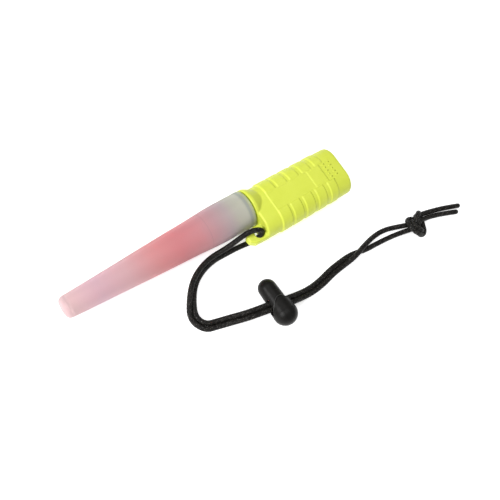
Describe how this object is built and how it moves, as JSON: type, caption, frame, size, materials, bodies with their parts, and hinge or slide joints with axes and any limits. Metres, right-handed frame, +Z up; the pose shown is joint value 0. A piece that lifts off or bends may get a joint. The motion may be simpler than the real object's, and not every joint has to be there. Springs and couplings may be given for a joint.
{
  "type": "traffic baton light",
  "caption": "Hand-held traffic wand light: flat oval battery handle, offset twist bezel, frosted red taper wand, looped wrist cord with knot and spring cord lock.",
  "frame": {"origin": "on the resting surface, under the middle of the rigid light (handle and wand, without the wrist cord and what is on it)", "axes": "+X from the wand's tip towards the handle's tail, +Z up from the surface the light lies on, +Y to the side of the offset neck"},
  "size_m": [0.2979, 0.0967, 0.027],
  "materials": {
    "hi_vis_yellow": "satin moulded",
    "frosted_wand": "frosted translucent",
    "red_filter": "translucent",
    "black_rubber": "matt",
    "black_plastic": "satin moulded",
    "dark_plastic": "matt moulded",
    "clear_lens": "clear polished",
    "mirror_bowl": "bright vacuum plated",
    "bright_steel": "nickel plated",
    "brass": "turned",
    "aluminium": "turned",
    "circuit_board": "solder mask",
    "led_phosphor": "domed silicone",
    "cell_jacket": "printed film",
    "black_cord": "braided nylon"
  },
  "bodies": {
    "handle": {"handle_shell": "hi_vis_yellow", "tail_cap": "hi_vis_yellow", "battery_tray": "dark_plastic", "aa_cell_near": "cell_jacket", "aa_cell_far": "cell_jacket", "tail_contact_plate": "bright_steel", "tail_contact_springs": "bright_steel", "front_contact_strip": "bright_steel", "neck_o_ring": "black_rubber", "cord_strand_a": "black_cord", "cord_strand_b": "black_cord", "cord_tail_a": "black_cord", "cord_tail_b": "black_cord", "cord_knot": "black_cord"},
    "lamp_module": {"module_housing": "dark_plastic", "heat_sink": "aluminium", "driver_board": "circuit_board", "led_board": "circuit_board", "led_emitter": "led_phosphor", "module_centre_pin": "brass", "module_ring_contact": "brass", "reflector": "mirror_bowl"},
    "bezel": {"bezel_ring": "hi_vis_yellow", "lens": "clear_lens", "lens_o_ring": "black_rubber", "wand_grip_ring": "black_rubber"},
    "wand": {"wand_shell": "frosted_wand", "red_filter": "red_filter"},
    "cord_lock": {"lock_barrel": "black_plastic", "lock_spring": "bright_steel"},
    "lock_button": {"lock_plunger": "black_plastic"}
  },
  "joints": [
    {"name": "module_advance", "type": "slide", "parent": "handle", "child": "lamp_module", "axis": [1, 0, 0], "range_m": [0, 0.0008]},
    {"name": "bezel_twist", "type": "hinge", "parent": "lamp_module", "child": "bezel", "pos_m": [0.0105, 0.00666, 0.0135], "axis": [1, 0, 0], "range_deg": [0, 90]},
    {"name": "wand_pull", "type": "slide", "parent": "bezel", "child": "wand", "axis": [-1, 0, 0], "range_m": [0, 0.04]},
    {"name": "lock_slide", "type": "slide", "parent": "handle", "child": "cord_lock", "axis": [-0.9781, 0.208, 0], "range_m": [0, 0.012]},
    {"name": "plunger_press", "type": "slide", "parent": "cord_lock", "child": "lock_button", "axis": [0.0146, 0.9952, -0.0966], "range_m": [0, 0.0018], "stiffness_N_per_m": 900, "springref_m": -0.002, "deforming": ["lock_spring"]}
  ],
  "couplings": [
    {"joint": "module_advance", "follows": "bezel_twist", "m_per_rad": 0.0005093}
  ]
}
